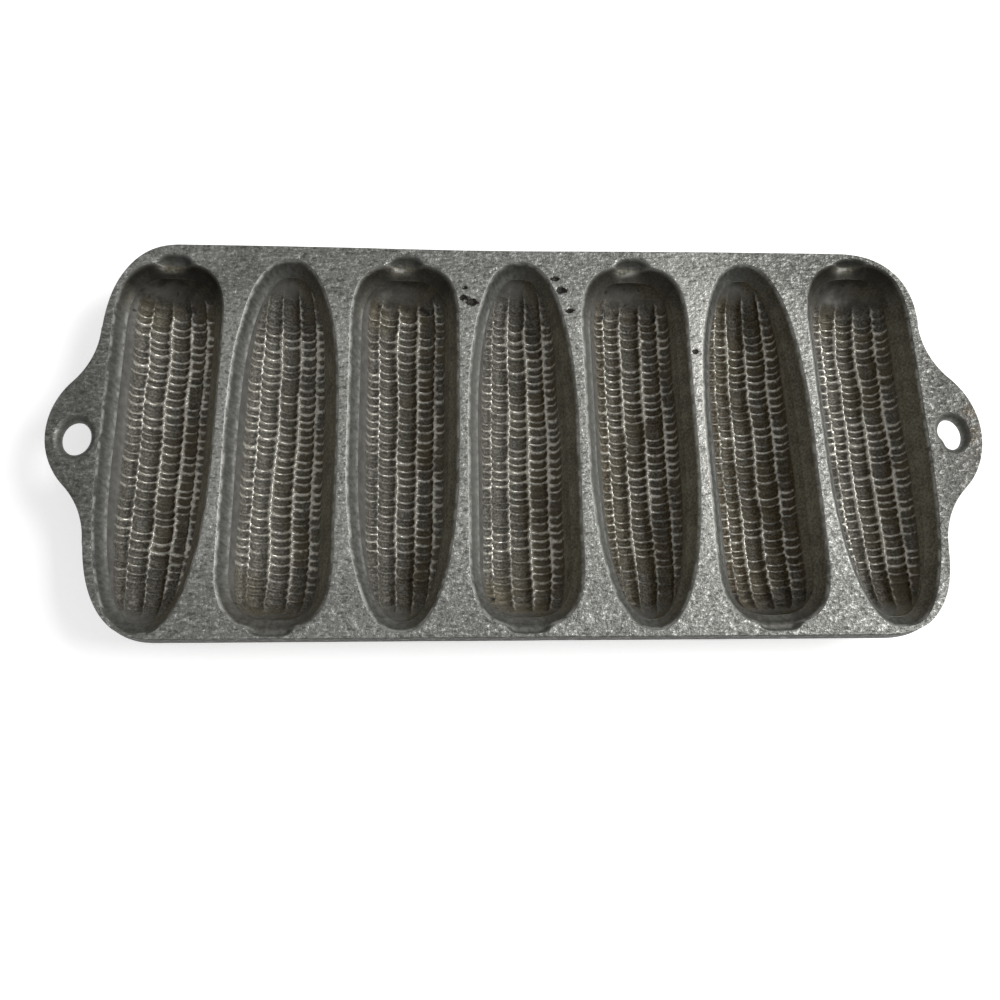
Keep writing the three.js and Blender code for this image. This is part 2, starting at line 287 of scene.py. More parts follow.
    # Relief of the rows and kernels
    presence = chance.step(0.0, 0.3, 0.35, 1.0) * kernel_end
    row_side = (across * 2.0 - 1.0).math("ABSOLUTE")
    kernel_side = (along * 2.0 - 1.0).math("ABSOLUTE")
    groove = corn * (1.0 - row_side ** 2.0)
    dish = corn * (1.0 - presence * kernel_side ** 2.0) * (1.0 - 0.6 * row_side ** 4.0)
    dish = dish * (0.85 + 0.3 * fullness * (1.0 - kernel_side ** 2.0))
    place = vector(tree, x, y, z + seed_step)
    lumps = noise_at(tree, place, 420.0, 3.0, 0.6) - 0.5
    sink = sunk * (given["Row Depth"] * groove + given["Kernel Depth"] * dish)
    sink = sink + lumps * corn * LUMP_HEIGHT

    # Soot and painted shade in the hollows and on the slopes that face left, old fat lightened as painted
    # bounce light, and burnt patches at the butt
    rightward = 0.5 + (across - 0.5) * turn
    # painted shade: the part of each row whose slope faces left, away from the window, is darkened
    shaded = rightward.step(0.55, 0.85) * rightward.step(0.92, 1.0, 1.0, 0.3)
    to_right = turn * sine
    # real soot plus painted shade, heavier in the kernel hollows, on the shaded slopes and on the bowl's
    # right side, which faces away from the window
    soot = corn * (0.58 * dish + 0.8 * shaded) * to_right.step(-0.7, 0.55, 0.65, 1.0) * given["Grime"]
    soot = soot * y.step(-61.0 * MM, -47.0 * MM, 0.78 + 0.16 * turn, 1.0)
    brown = to_right.step(-0.6, 0.5).math("MAXIMUM", y.step(-42.0 * MM, -56.0 * MM) * 0.85)
    brown = brown.math("MAXIMUM", given["Grime"].step(1.15, 1.4) * 0.75)
    # old fat on the bowl's right side, which faces away from the window, in a lighter colour as painted
    # bounce light
    residue = inside * (1.0 - corn) * to_right.step(0.0, 0.6)
    blotch = noise_at(tree, place, 170.0, 3.0, 0.6).step(0.42, 0.62, 0.75, 1.0)
    burnt = y.step(-50.0 * MM, -59.5 * MM) * blotch * inside * given["Scorch"]
    flecks = noise_at(tree, place, 260.0, 3.0, 0.65).step(0.6, 0.67)
    flecks = flecks * y.step(-36.0 * MM, -54.0 * MM)
    burnt = burnt.math("MAXIMUM", flecks * inside)

    # Ridges worn bright and given painted highlights, in patches and less so at the pan's near side
    scour = noise_at(tree, place, 900.0, 2.0, 0.6).step(0.3, 0.6, 0.5, 1.0)
    pale_patch = noise_at(tree, place, 110.0, 2.0, 0.5).step(0.35, 0.6, 0.6, 1.1)
    patchy = noise_at(tree, place, 62.0, 3.0, 0.6).step(0.36, 0.57, 0.68, 1.2)
    long_ridge = bell(from_row_edge, LONG_RIDGE_HALF) * pale_patch
    long_ridge = long_ridge * kernel_end.math("MAXIMUM", 0.8 * first_kernels)
    # painted highlight: long ridges are dimmed on the rows on the bowl's left, whose slopes face the
    # window, and a little on the last rows
    long_ridge = long_ridge * from_left.step(0.8, 2.6, 0.35, 1.0) * from_left.step(3.2, 4.6, 1.0, 0.7)
    cross_ridge_half = (0.86 - 0.17 * given["Grime"]) * MM
    cross_ridge = bell(from_kernel_edge, cross_ridge_half) * presence
    # painted highlight: cross ridges are brighter at the left end of each row, where the light falls on
    # them
    cross_ridge = cross_ridge * rightward.step(0.05, 0.95, 0.9, 0.55)
    near_end = (y * turn).step(-34.0 * MM, -58.0 * MM)
    ridge_wear_and_highlight = corn * (long_ridge + cross_ridge).math("MINIMUM", 1.0) * scour * patchy
    ridge_wear_and_highlight = ridge_wear_and_highlight * given["Grime"].step(0.8, 1.5, 1.0, 0.84) * (1.0 - 0.45 * near_end)

    marks = {"ridge_wear_and_highlight": ridge_wear_and_highlight, "soot": soot, "corn": corn, "inside": inside, "burnt": burnt,
             "residue": residue, "brown": brown}
    marked = sheet
    for name, value in marks.items():
        marked = Wire.node(
            tree, "GeometryNodeStoreNamedAttribute", {"data_type": "FLOAT", "domain": "POINT"},
            {"Geometry": marked, "Name": name, "Value": value})

    # Place in the pan, with a sharp edge round the rim
    sunk_x = x + sink * sine
    lean_sine = given["Lean"].math("SINE")
    lean_cosine = given["Lean"].math("COSINE")
    bent = vector(
        tree,
        given["Across"] + turn * (sunk_x * lean_cosine - y * lean_sine),
        given["Shift"] + turn * (sunk_x * lean_sine + y * lean_cosine),
        z - sink * cosine)
    shaped = Wire.node(tree, "GeometryNodeSetPosition", {}, {"Geometry": marked, "Position": bent})
    closed = Wire.node(tree, "GeometryNodeMergeByDistance", {}, {"Geometry": shaped, "Distance": 1e-6})
    smooth = Wire.node(tree, "GeometryNodeSetShadeSmooth", {}, {"Geometry": closed, "Shade Smooth": True})
    height = Wire.node(tree, "ShaderNodeSeparateXYZ", {}, {
        "Vector": Wire.node(tree, "GeometryNodeInputPosition", {}, {})}, "Z")
    at_rim = (height - given["Rim Height"]).math("ABSOLUTE") < 0.01 * MM
    fold = Wire.node(tree, "GeometryNodeInputMeshEdgeAngle", {}, {}, "Unsigned Angle")
    creased = Wire.node(tree, "GeometryNodeSetShadeSmooth", {"domain": "EDGE"}, {
        "Geometry": smooth, "Selection": at_rim * fold.math("GREATER_THAN", 0.6), "Shade Smooth": False})
    realized = Wire.node(tree, "GeometryNodeRealizeInstances", {}, {"Geometry": creased})
    finished = Wire.node(tree, "GeometryNodeSetMaterial", {}, {
        "Geometry": realized, "Material": given["Finish"]})
    leave = tree.nodes.new("NodeGroupOutput")
    join(finished, leave.inputs["Mould"])
    return tree, sockets


def attribute(tree, name):
    return Wire.node(tree, "ShaderNodeAttribute", {"attribute_name": name}, {}, "Fac")


def mixed(tree, factor, first, second):
    """Colour between two colours or colour wires."""
    return Wire.node(tree, "ShaderNodeMix", {"data_type": "RGBA"}, {0: factor, 6: first, 7: second}, 2)


def new_material(name):
    material = bpy.data.materials.new(name)
    material.use_nodes = True
    tree = material.node_tree
    shader = tree.nodes["Principled BSDF"]
    place = Wire.node(tree, "ShaderNodeTexCoord", {}, {}, "Object")
    return material, tree, shader, place


def sand_grain(tree, place):
    """Fine relief that a sand mould leaves, with short streaks from filing."""
    turned = Wire.node(tree, "ShaderNodeMapping", {}, {
        "Vector": place, "Rotation": (0.0, 0.0, math.radians(-62)), "Scale": (430.0, 1000.0, 800.0)})
    streak = noise_at(tree, turned, 1.0, 2.0, 0.5)
    grain = noise_at(tree, place, 880.0, 2.0, 0.6)
    return grain * 0.38 + streak * 0.62


def grease_and_bounce_light(tree, place):
    """Colour of the old fat on the sides that face away from the light, lighter and warmer than the skin
    as painted bounce light.
    """
    speckle = noise_at(tree, place, 1100.0, 3.0, 0.6) * 0.7 + noise_at(tree, place, 130.0, 2.0) * 0.3
    return mixed(tree, speckle.step(0.34, 0.66), *GREASE_AND_BOUNCE_LIGHT)


def baked_aluminium():
    """Cast skin with soot and painted shade in the hollows, burnt fat at the butt and ridges worn bright
    with painted highlights.
    """
    material, tree, shader, place = new_material("baked_aluminium")
    ridge_wear_and_highlight = attribute(tree, "ridge_wear_and_highlight")
    corn = attribute(tree, "corn")
    inside = attribute(tree, "inside")
    burnt = attribute(tree, "burnt")
    brown = attribute(tree, "brown")
    patch = noise_at(tree, place, 30.0, 3.0).step(0.35, 0.65)
    speck = noise_at(tree, place, 1300.0, 3.0, 0.65)
    mottle = noise_at(tree, place, 330.0, 3.0, 0.6)
    grain = sand_grain(tree, place)
    # where soot, burnt fat and painted shade darken the skin
    crust_and_shade = attribute(tree, "soot") * (0.85 + 0.3 * patch) * mottle.step(0.3, 0.6, 0.6, 1.0)
    crust_and_shade = crust_and_shade.math("MAXIMUM", burnt * 0.9).math("MINIMUM", 1.0)
    # ridge wear together with painted highlights
    wear_and_highlight = ridge_wear_and_highlight.step(0.2, 0.78) * speck.step(0.3, 0.6, 0.5, 1.0) * (1.0 - 0.8 * burnt)
    skin = mixed(tree, mottle.step(0.3, 0.7), *SKIN)
    # old fat lightened as painted bounce light
    skin = mixed(tree, attribute(tree, "residue"), skin, grease_and_bounce_light(tree, place))
    outside = mixed(tree, grain.step(0.4, 0.62), *OUTSIDE_SKIN)
    grey_soot = mixed(tree, speck.step(0.35, 0.75), *GREY_SOOT_AND_SHADE)
    brown_soot = mixed(tree, speck.step(0.35, 0.75), *BROWN_SOOT_AND_SHADE)
    soot = mixed(tree, brown, grey_soot, brown_soot)
    soot = mixed(tree, burnt, soot, BURNT_FAT)
    browned = noise_at(tree, place, 75.0, 3.0, 0.6).step(0.42, 0.6) * brown * 0.8
    corn_skin = mixed(tree, speck.step(0.35, 0.7), *CORN_SKIN)
    corn_skin = mixed(tree, browned, corn_skin, BROWNED_SKIN)
    base = mixed(tree, inside, outside, skin)
    base = mixed(tree, corn, base, corn_skin)
    base = mixed(tree, crust_and_shade, base, soot)
    base = mixed(tree, wear_and_highlight * 0.9, base, WORN_RIDGE_AND_HIGHLIGHT)
    join(base, shader.inputs["Base Color"])
    join(0.6 - 0.25 * corn - 0.2 * crust_and_shade + 0.45 * wear_and_highlight, shader.inputs["Metallic"])
    join(0.5 + 0.1 * corn - 0.26 * wear_and_highlight, shader.inputs["Roughness"])
    relief = speck * corn * 0.5 + grain * (1.0 - 0.9 * inside) + 0.15 * mottle
    bump = Wire.node(tree, "ShaderNodeBump", {}, {"Strength": 0.6, "Distance": 0.4 * MM, "Height": relief})
    join(bump, shader.inputs["Normal"])
    return material


def plain_mesh(piece):
    """Turns a piece's modifiers into its mesh."""
    graph = bpy.context.evaluated_depsgraph_get()
    evaluated = piece.evaluated_get(graph)
    mesh = bpy.data.meshes.new_from_object(evaluated, preserve_all_data_layers=True, depsgraph=graph)
    piece.modifiers.clear()
    piece.data = mesh


BAKED = baked_aluminium()
mould_tree, mould_sockets = corn_mould_tree()
mould_places = []
for number, (grime, scorch) in enumerate(zip(GRIME, SCORCH), start=1):
    turn = -1.0 if number % 2 else 1.0
    across = (number - MIDDLE_MOULD) * MOULD_PITCH
    lean = (number - MIDDLE_MOULD) * FAN
    corner_side = {1: 1.0, LAST_MOULD: -1.0}.get(number, 0.0)
    longer = LAST_MOULD_LONGER if number == LAST_MOULD else 0.0
    lean_axes = np.array(((math.cos(lean), -math.sin(lean)), (math.sin(lean), math.cos(lean))))
    mould_places.append({
        "middle": np.array((across, MOULD_SHIFT)), "axes": turn * lean_axes, "far_butt": turn < 0,
        "corner_side": corner_side, "longer": longer, "scorch": scorch})
    mould = bpy.data.objects.new(f"mould_{number}", bpy.data.meshes.new(f"mould_{number}"))
    bpy.context.collection.objects.link(mould)
    bend = mould.modifiers.new("corn_mould", "NODES")
    bend.node_group = mould_tree
    values = {
        "Half Width": THROAT["half"], "Tip": THROAT["tip"], "Butt": THROAT["butt"] + longer,
        "Depth": BOWL_DEPTH, "Wall": WALL, "Outer Depth": DECK_BOTTOM, "Rim Height": DECK_BOTTOM,
        "Kernel Pitch": KERNEL_PITCH, "Row Depth": ROW_DEPTH, "Kernel Depth": KERNEL_DEPTH,
        "Row Angle": ROW_ANGLE, "Across": across, "Shift": MOULD_SHIFT, "Lean": lean, "Turn": turn,
        "Corner Side": corner_side, "Grime": grime, "Scorch": scorch, "Seed": float(number),
        "Finish": BAKED}
    for name, value in values.items():
        bend[mould_sockets[name].identifier] = value
    plain_mesh(mould)
    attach(mould, "root")
    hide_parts(f"corn_mould_{number}")


# Deck and ears
# The flat top of the same casting, with the seven mouths, their smooth drafted sides, the half-round
# stem recesses and an oval hole in each hanging ear. The sand mould left its grain all over it.
PLATE = DECK_TOP - DECK_BOTTOM
EDGE_ROUND = 0.25 * MM
EDGE_DRAFT = 0.2 * MM
EDGE_STRAY = 0.06 * MM
EDGE_WEAR = 0.6
EDGE_SOOT_AND_SHADE = 0.86
NEAR_LEAN = 0.6 * MM
FOOT_ROUND = 0.8 * MM
CORNER_POWER = 2.4
FAR_LEFT = {"side": 152.0 * MM, "edge": 73.95 * MM, "wide": 27.0 * MM, "long": 42.0 * MM}
NEAR_LEFT = {"side": 152.0 * MM, "edge": 73.5 * MM, "wide": 27.0 * MM, "long": 42.0 * MM}
FAR_RIGHT = {"side": 151.5 * MM, "edge": 73.0 * MM, "wide": 30.0 * MM, "long": 30.0 * MM}
NEAR_RIGHT = {"side": 151.2 * MM, "edge": 74.8 * MM, "wide": 27.0 * MM, "long": 33.0 * MM}
FAR_HOLLOW = {"depth": 0.8 * MM, "middle": -12.0 * MM, "half": 55.0 * MM, "beyond": 60.0 * MM}
EAR_CENTRE = 140.0 * MM
LEFT_EAR_RADIUS = 28.0 * MM
RIGHT_EAR_RADIUS = 29.8 * MM
EAR_FILLET = 30.0 * MM
EAR_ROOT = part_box("deck_plate")[1].x
MOUTH = {"half": 19.6 * MM, "tip": 69.3 * MM, "butt": 67.9 * MM}
DRAFT_FOOT = {"half": 16.3 * MM, "tip": 65.35 * MM, "butt": 64.35 * MM}
DRAFT_HOLLOW = 0.35 * MM
LIP_ROUND = 0.6 * MM
LIP_STRAY = 0.22 * MM
LIP_SHARE = 0.22
CORNER_LIP_ROUND = 0.25 * MM
CORNER_LIP_STRAY = 0.05 * MM
FOOT_HIGHLIGHT = 0.25
FAR_SIDE_SOOT_AND_SHADE = 0.34
PALE_PATCH_SIDE = 2.0 * MM
PALE_PATCH_HALF = 4.0 * MM
NEAR_STEM = {
    "half": 9.0 * MM, "taper": 0.26, "reach": 4.2 * MM, "depth": 2.4 * MM, "slope": 0.26, "power": 4.5}
FAR_STEM = {
    "half": 9.0 * MM, "taper": 0.4, "reach": 5.9 * MM, "depth": 3.4 * MM, "slope": 0.6, "power": 3.2}
STEM_START = 66.4 * MM
STEM_LENGTH = 12.0 * MM
HOLE_RIM = 2.2 * MM
HOLES = (
    {"place": (-157.6 * MM, -1.65 * MM), "half": (5.1 * MM, 6.1 * MM), "flash": 0.0},
    {"place": (158.4 * MM, -0.05 * MM), "half": (4.7 * MM, 5.9 * MM), "flash": 0.24})
FLASH_TURN = math.radians(214)
FLASH_WIDTH = 0.42
# Blow holes: places across and along the deck, and radii, in millimetres
PITS = (
    (-17.6, 51.1, 1.3), (15.6, 56.2, 1.2), (18.3, 48.1, 1.1), (-21.6, 53.1, 0.9), (13.6, 61.0, 0.9),
    (-20.5, 57.2, 0.8), (64.7, 31.7, 0.7))
PIT_DEPTH = 0.9 * MM
PIT_STAIN = 1.75
DECK_WAVE = 0.06 * MM
OUTLINE_STEP = 0.9 * MM
GRAIN_STEP = 0.85 * MM
UNDERSIDE_STEP = GRAIN_STEP * 3.2
LOOSE_GAP = 0.42 * MM
HALF_DEEP = 75.0 * MM
HALF_LONG = 170.0 * MM
HEX_RISE = 0.866
DECK_SKIN = ((0.225, 0.226, 0.208, 1), (0.285, 0.286, 0.266, 1))
DRAFT_SKIN = ((0.094, 0.094, 0.085, 1), (0.185, 0.185, 0.170, 1))
DULL = (0.09, 0.088, 0.08, 1)
POLISHED = (0.40, 0.40, 0.37, 1)
PAINTED_SHEEN = (0.60, 0.595, 0.555, 1)
EAR_STAIN = (0.105, 0.080, 0.050, 1)
GRAIN_DARK = (0.060, 0.058, 0.050, 1)
GRAIN_LIGHT = (0.62, 0.62, 0.59, 1)
CLEAN_DRAFT = (0.285, 0.285, 0.265, 1)
LEFT_END_DRAFT = (0.065, 0.065, 0.058, 1)
WORN_LIP_AND_HIGHLIGHT = (0.68, 0.68, 0.65, 1)
DECK_SOOT_AND_SHADE = (0.022, 0.020, 0.016, 1)


def arc(x, y, radius, start, end, count=60):
    turn = np.radians(np.linspace(start, end, count))
    return np.column_stack((x + radius * np.cos(turn), y + radius * np.sin(turn)))


def even_steps(guide, step, *others):
    """Points at even steps round a closed outline, and the matching points of other outlines."""
    closed = np.vstack((guide, guide[:1]))
    along = np.concatenate(([0.0], np.cumsum(np.linalg.norm(np.diff(closed, axis=0), axis=1))))
    stops = np.linspace(0.0, along[-1], round(along[-1] / step), endpoint=False)
    rings = [np.vstack((outline, outline[:1])) for outline in (guide, *others)]
    return [np.column_stack([np.interp(stops, along, ring[:, axis]) for axis in (0, 1)])
            for ring in rings]


def outward(ring):
    """Directions straight out of a ring at each of its points."""
    ahead = np.roll(ring, -1, axis=0) - np.roll(ring, 1, axis=0)
    normal = np.column_stack((ahead[:, 1], -ahead[:, 0]))
    return normal / np.linalg.norm(normal, axis=1)[:, None]


def mouth_outline(half, tip, butt, longer, corner_side):
    """Outline of a mouth about its own middle, with its tip towards +Y."""
    turn = np.linspace(0.0, math.pi, 1500)

    def bulge(value, power):
        return np.sign(value) * np.abs(value) ** (2.0 / power)

    tip_power = np.where(np.cos(turn) * corner_side > 0, CORNER_TIP_POWER, TIP_POWER)
    tip_end = (half * bulge(np.cos(turn), tip_power), tip * bulge(np.sin(turn), tip_power))
    butt_reach = (butt + longer + BUTT_SHOULDER) * bulge(np.sin(turn), BUTT_POWER)
    butt_end = (-half * bulge(np.cos(turn), BUTT_POWER), BUTT_SHOULDER - butt_reach)
    return np.vstack((np.column_stack(tip_end), np.column_stack(butt_end)))


def stem_of(place):
    """Sizes of a mould's stem recess, where along the mould it starts, and its reach from there."""
    stem = FAR_STEM if place["far_butt"] else NEAR_STEM
    return stem, -STEM_START - place["longer"], stem["reach"] - 0.8 * place["longer"]


def stem_depth(xy, share_only=False, far_only=False):
    """How deep each point of the deck lies in a stem recess, in metres or from 0 to 1."""
    deepest = np.zeros(len(xy))
    for place in mould_places:
        stem, start, reach = stem_of(place)
        x, y = ((xy - place["middle"]) @ place["axes"]).T
        beyond = np.maximum(start - y, 0.0) / reach
        half = stem["half"] * (1.0 - stem["taper"] * np.minimum(beyond, 1.1))
        fill = ((np.abs(x) / half) ** stem["power"] + beyond ** stem["power"]) ** (1.0 / stem["power"])
        share = np.clip((1.0 - fill) / stem["slope"], 0.0, 1.0)
        share = share * share * (3.0 - 2.0 * share)
        if far_only and not place["far_butt"]:
            share = share * 0.0
        depth = share if share_only else share * stem["depth"]
        deepest = np.maximum(deepest, np.where(y < start + STEM_LENGTH, depth, 0.0))
    return deepest


def stem_points(place):
    """Points on contour lines of the stem recess, so that the deck's faces follow its edge."""
    stem, start, reach = stem_of(place)
    power = 2.0 / stem["power"]
    rise = np.arange(0.5, 3.0, 0.5) * MM
    lines = []
    for level in (-0.2, 0.0, 0.2, 0.42, 0.7, 1.0):
        share = 1.0 - level * stem["slope"]
        turn = np.linspace(0.0, math.pi, max(8, int(56 * share)))
        beyond = share * np.sin(turn) ** power
        half = stem["half"] * (1.0 - stem["taper"] * beyond)
        x = share * half * np.sign(np.cos(turn)) * np.abs(np.cos(turn)) ** power
        lines.append(np.column_stack((x, start - reach * beyond)))
        for side in (-1.0, 1.0):
            side_x = np.full(rise.size, side * share * stem["half"])
            lines.append(np.column_stack((side_x, start + rise)))
    return np.vstack(lines) @ place["axes"].T + place["middle"]


def pit_share(xy, spread=1.0):
    """How far each point lies in one of the groups of blow holes, from 0 to 1."""
    share = np.zeros(len(xy))
    for x, y, radius in PITS:
        apart = np.hypot((xy[:, 0] - x * MM) * 0.8, xy[:, 1] - y * MM) / (radius * spread * MM)
        share = np.maximum(share, np.exp(-apart ** 2))
    return share


def deck_height(xy):
    """Height of the deck's top: the casting's unevenness, the stem recesses and the pits."""
    wave = np.array([DECK_WAVE * noise.noise((x * 60.0, y * 60.0, 4.0)) for x, y in xy])
    return DECK_TOP + wave - stem_depth(xy) - PIT_DEPTH * pit_share(xy)


def deck_marks(xy):
    """Marks of the deck's top: smooth stem recesses, darkened at the far side as painted shade, and black
    pits.
    """
    far_stem = stem_depth(xy, share_only=True, far_only=True)
    # painted shade round the edge of each far stem recess, less at its deepest
    soot = 0.75 * np.minimum(3.0 * far_stem, 1.0) * (1.0 - 0.75 * far_stem ** 2)
    return {"wall": stem_depth(xy, share_only=True), "pitted": pit_share(xy, PIT_STAIN), "soot": soot}


def inside_rings(points, outlines):
    """Whether each point lies inside an odd number of the outlines."""
    inside = np.zeros(len(points), bool)
    x = points[:, 0]
    y = points[:, 1]
    for outline in outlines:
        following = np.roll(outline, -1, axis=0)
        for (x0, y0), (x1, y1) in zip(outline, following):
            if y0 != y1:
                crosses = ((y0 > y) != (y1 > y)) & (x < x0 + (y - y0) * (x1 - x0) / (y1 - y0))
                inside ^= crosses
    return inside


class Plate:
    """Points, faces and marks of the deck while its rings and fillings are put together."""

    MARKS = ("wall", "lip", "soot", "residue", "pitted")

    def __init__(self):
        self.points = []
        self.marks = []
        self.faces = []
        self.count = 0

    def ring(self, xy, z, **marks):
        """Adds points at a height, with their marks, and gives back their numbers."""
        self.points.append(np.column_stack((xy, np.broadcast_to(z, len(xy)))))
        columns = [np.broadcast_to(marks.get(name, 0.0), len(xy)) for name in Plate.MARKS]
        self.marks.append(np.column_stack(columns))
        self.count += len(xy)
        return np.arange(self.count - len(xy), self.count)

    def band(self, first, second):
        """Faces between two rings with the same number of points."""
        quads = np.column_stack((first, np.roll(first, -1), np.roll(second, -1), second))
        self.faces.extend(quads.tolist())

    def fill(self, rings, loose, height, marks):
        """Triangles between closed rings, with the loose points that lie clear of them."""
        points = np.vstack(self.points)
        outlines = [points[ring, :2] for ring in rings]
        edge_points = np.vstack(outlines)
        tree = kdtree.KDTree(len(edge_points))
        for index, (x, y) in enumerate(edge_points):
            tree.insert((x, y, 0.0), index)
        tree.balance()
        clear = [tree.find((x, y, 0.0))[2] > LOOSE_GAP for x, y in loose]
        loose = loose[np.array(clear)]
        loose = loose[inside_rings(loose, outlines)]
        loose_ring = self.ring(loose, height(loose), **marks(loose))
        numbers = np.concatenate((*rings, loose_ring))
        flat = np.vstack((edge_points, loose))
        edges = []
        start = 0
        for outline in outlines:
            order = np.arange(start, start + len(outline))
            edges.extend(zip(order.tolist(), np.roll(order, -1).tolist()))
            start += len(outline)
        result = delaunay_2d_cdt([Vector(point) for point in flat.tolist()], edges, [], 0, 1e-8)
        sources = np.array([origins[0] for origins in result[3]])
        triangles = sources[np.array(result[2])]
        on_edges = (triangles < len(edge_points)).all(axis=1)
        middles = flat[triangles[on_edges]].mean(axis=1)
        kept = np.ones(len(triangles), bool)
        kept[on_edges] = inside_rings(middles, outlines)
        self.faces.extend(numbers[triangles[kept]].tolist())

    def mesh(self, name):
        mesh = bpy.data.meshes.new(name)
        mesh.from_pydata(np.vstack(self.points).tolist(), [], self.faces)
        marks = np.vstack(self.marks)
        for column, mark in enumerate(Plate.MARKS):
            layer = mesh.attributes.new(mark, "FLOAT", "POINT")
            layer.data.foreach_set("value", marks[:, column].astype(np.float32))
        return mesh


def hex_points(step):
    """Points in a loose honeycomb over the whole plate."""
    rows = np.arange(-HALF_DEEP, HALF_DEEP, step * HEX_RISE)
    columns = np.arange(-HALF_LONG, HALF_LONG, step)
    grid = [np.column_stack((columns + step * 0.5 * (index % 2), np.full(columns.size, y)))
            for index, y in enumerate(rows)]
    points = np.vstack(grid)
    stray = np.random.default_rng(7).uniform(-0.18, 0.18, points.shape)
    return points + stray * step


def corner_curve(side, edge, wide, long):
    """Rounded corner from the plate's side to its long edge."""
    turn = np.linspace(0.0, math.pi / 2, 120)
    x = side - wide + wide * np.cos(turn) ** (2.0 / CORNER_POWER)
    y = edge - long + long * np.sin(turn) ** (2.0 / CORNER_POWER)
    return np.column_stack((x, y))


def half_outline(first, second, ear_radius):
    """One end of the plate, from its first corner round the ear to its second corner."""
    fillet_x = (first["side"] + second["side"]) / 2 + EAR_FILLET
    fillet_y = math.sqrt((ear_radius + EAR_FILLET) ** 2 - (fillet_x - EAR_CENTRE) ** 2)
    lean = math.degrees(math.atan2(fillet_y, fillet_x - EAR_CENTRE))
    start = corner_curve(**first)[::-1] * (1.0, -1.0)
    end = corner_curve(**second)
    return np.vstack((
        start[start[:, 1] < -fillet_y],
        arc(fillet_x, -fillet_y, EAR_FILLET, 180, 180 - lean),
        arc(EAR_CENTRE, 0.0, ear_radius, -lean, lean),
        arc(fillet_x, fillet_y, EAR_FILLET, 180 + lean, 180),
        end[end[:, 1] > fillet_y]))


def plate_sides(plate):
    """Rings round the outside of the plate, from the deck over its edge to its rounded foot."""
    right = half_outline(NEAR_RIGHT, FAR_RIGHT, RIGHT_EAR_RADIUS)
    left = half_outline(FAR_LEFT, NEAR_LEFT, LEFT_EAR_RADIUS)
    outline, = even_steps(np.vstack((right, -left)), OUTLINE_STEP)
    from_hollow = (outline[:, 0] - FAR_HOLLOW["middle"]) / FAR_HOLLOW["half"]
    hollow = FAR_HOLLOW["depth"] * np.exp(-from_hollow ** 2)
    outline[:, 1] -= np.where(outline[:, 1] > FAR_HOLLOW["beyond"], hollow, 0.0)
    away = outward(outline)
    drift = [EDGE_STRAY * noise.noise((x * 70.0, y * 70.0, 9.0)) for x, y in outline]
    outline = outline + away * np.array(drift)[:, None]
    shoulder = EDGE_DRAFT + EDGE_ROUND
    profile = [(shoulder - EDGE_ROUND * math.sin(turn), EDGE_ROUND * (1 - math.cos(turn)))
               for turn in np.radians((0, 25, 50, 75))]
    profile += [(EDGE_DRAFT * 0.6, PLATE * 0.4), (EDGE_DRAFT * 0.2, PLATE * 0.7)]
    profile += [(FOOT_ROUND * (1 - math.cos(turn)), PLATE - FOOT_ROUND * (1 - math.sin(turn)))
                for turn in np.radians((0, 30, 60, 90))]
    on_near_edge = np.clip(-5.0 * away[:, 1] - 4.0, 0.0, 1.0)
    rings = []
    for index, (inset, drop) in enumerate(profile):
        lean = NEAR_LEAN * on_near_edge * max(0.0, 1.0 - drop / PLATE)
        xy = outline - away * (inset + lean)[:, None]
        height = deck_height(xy) if index == 0 else DECK_TOP - drop
        wear = EDGE_WEAR if index == 1 else 0.0
        # the sides below the edge are darkened, partly soot and partly painted shade
        soot = EDGE_SOOT_AND_SHADE if index > 1 else 0.0
        rings.append(plate.ring(xy, height, lip=wear, soot=soot))
    return rings


def draft_marks(lip, away, place):
    """Old fat away from the light, lightened as painted bounce light; soot and painted shade at the far
    side and the far butts; and a pale patch below a far stem, partly pale deposit and partly painted
    light.
    """
    towards_butt = np.clip(1.9 * away @ -place["axes"][:, 1], 0.0, 1.0)
    towards_far = np.clip(1.6 * away[:, 1], 0.0, 1.0)
    scorch = 0.25 + 0.75 * place["scorch"] if place["far_butt"] else 0.3 * place["scorch"]
    # old fat on walls that face away from the window, lightened as painted bounce light
    residue = np.maximum(np.clip(away[:, 0], 0.0, 1.0), towards_butt * scorch)
    # soot and painted shade, strongest on the walls of the far butts and on the far walls of the mouths
    smoked_and_shaded = np.maximum(towards_butt * scorch, FAR_SIDE_SOOT_AND_SHADE * towards_far)
    x, y = ((lip - place["middle"]) @ place["axes"]).T
    # pale patch below a far stem, partly a pale deposit and partly painted light where the stem's floor
    # catches the light
    pale_patch = np.exp(-((x - PALE_PATCH_SIDE) / PALE_PATCH_HALF) ** 2) * (y < BUTT_SHOULDER) * place["far_butt"]
    return residue, smoked_and_shaded, pale_patch


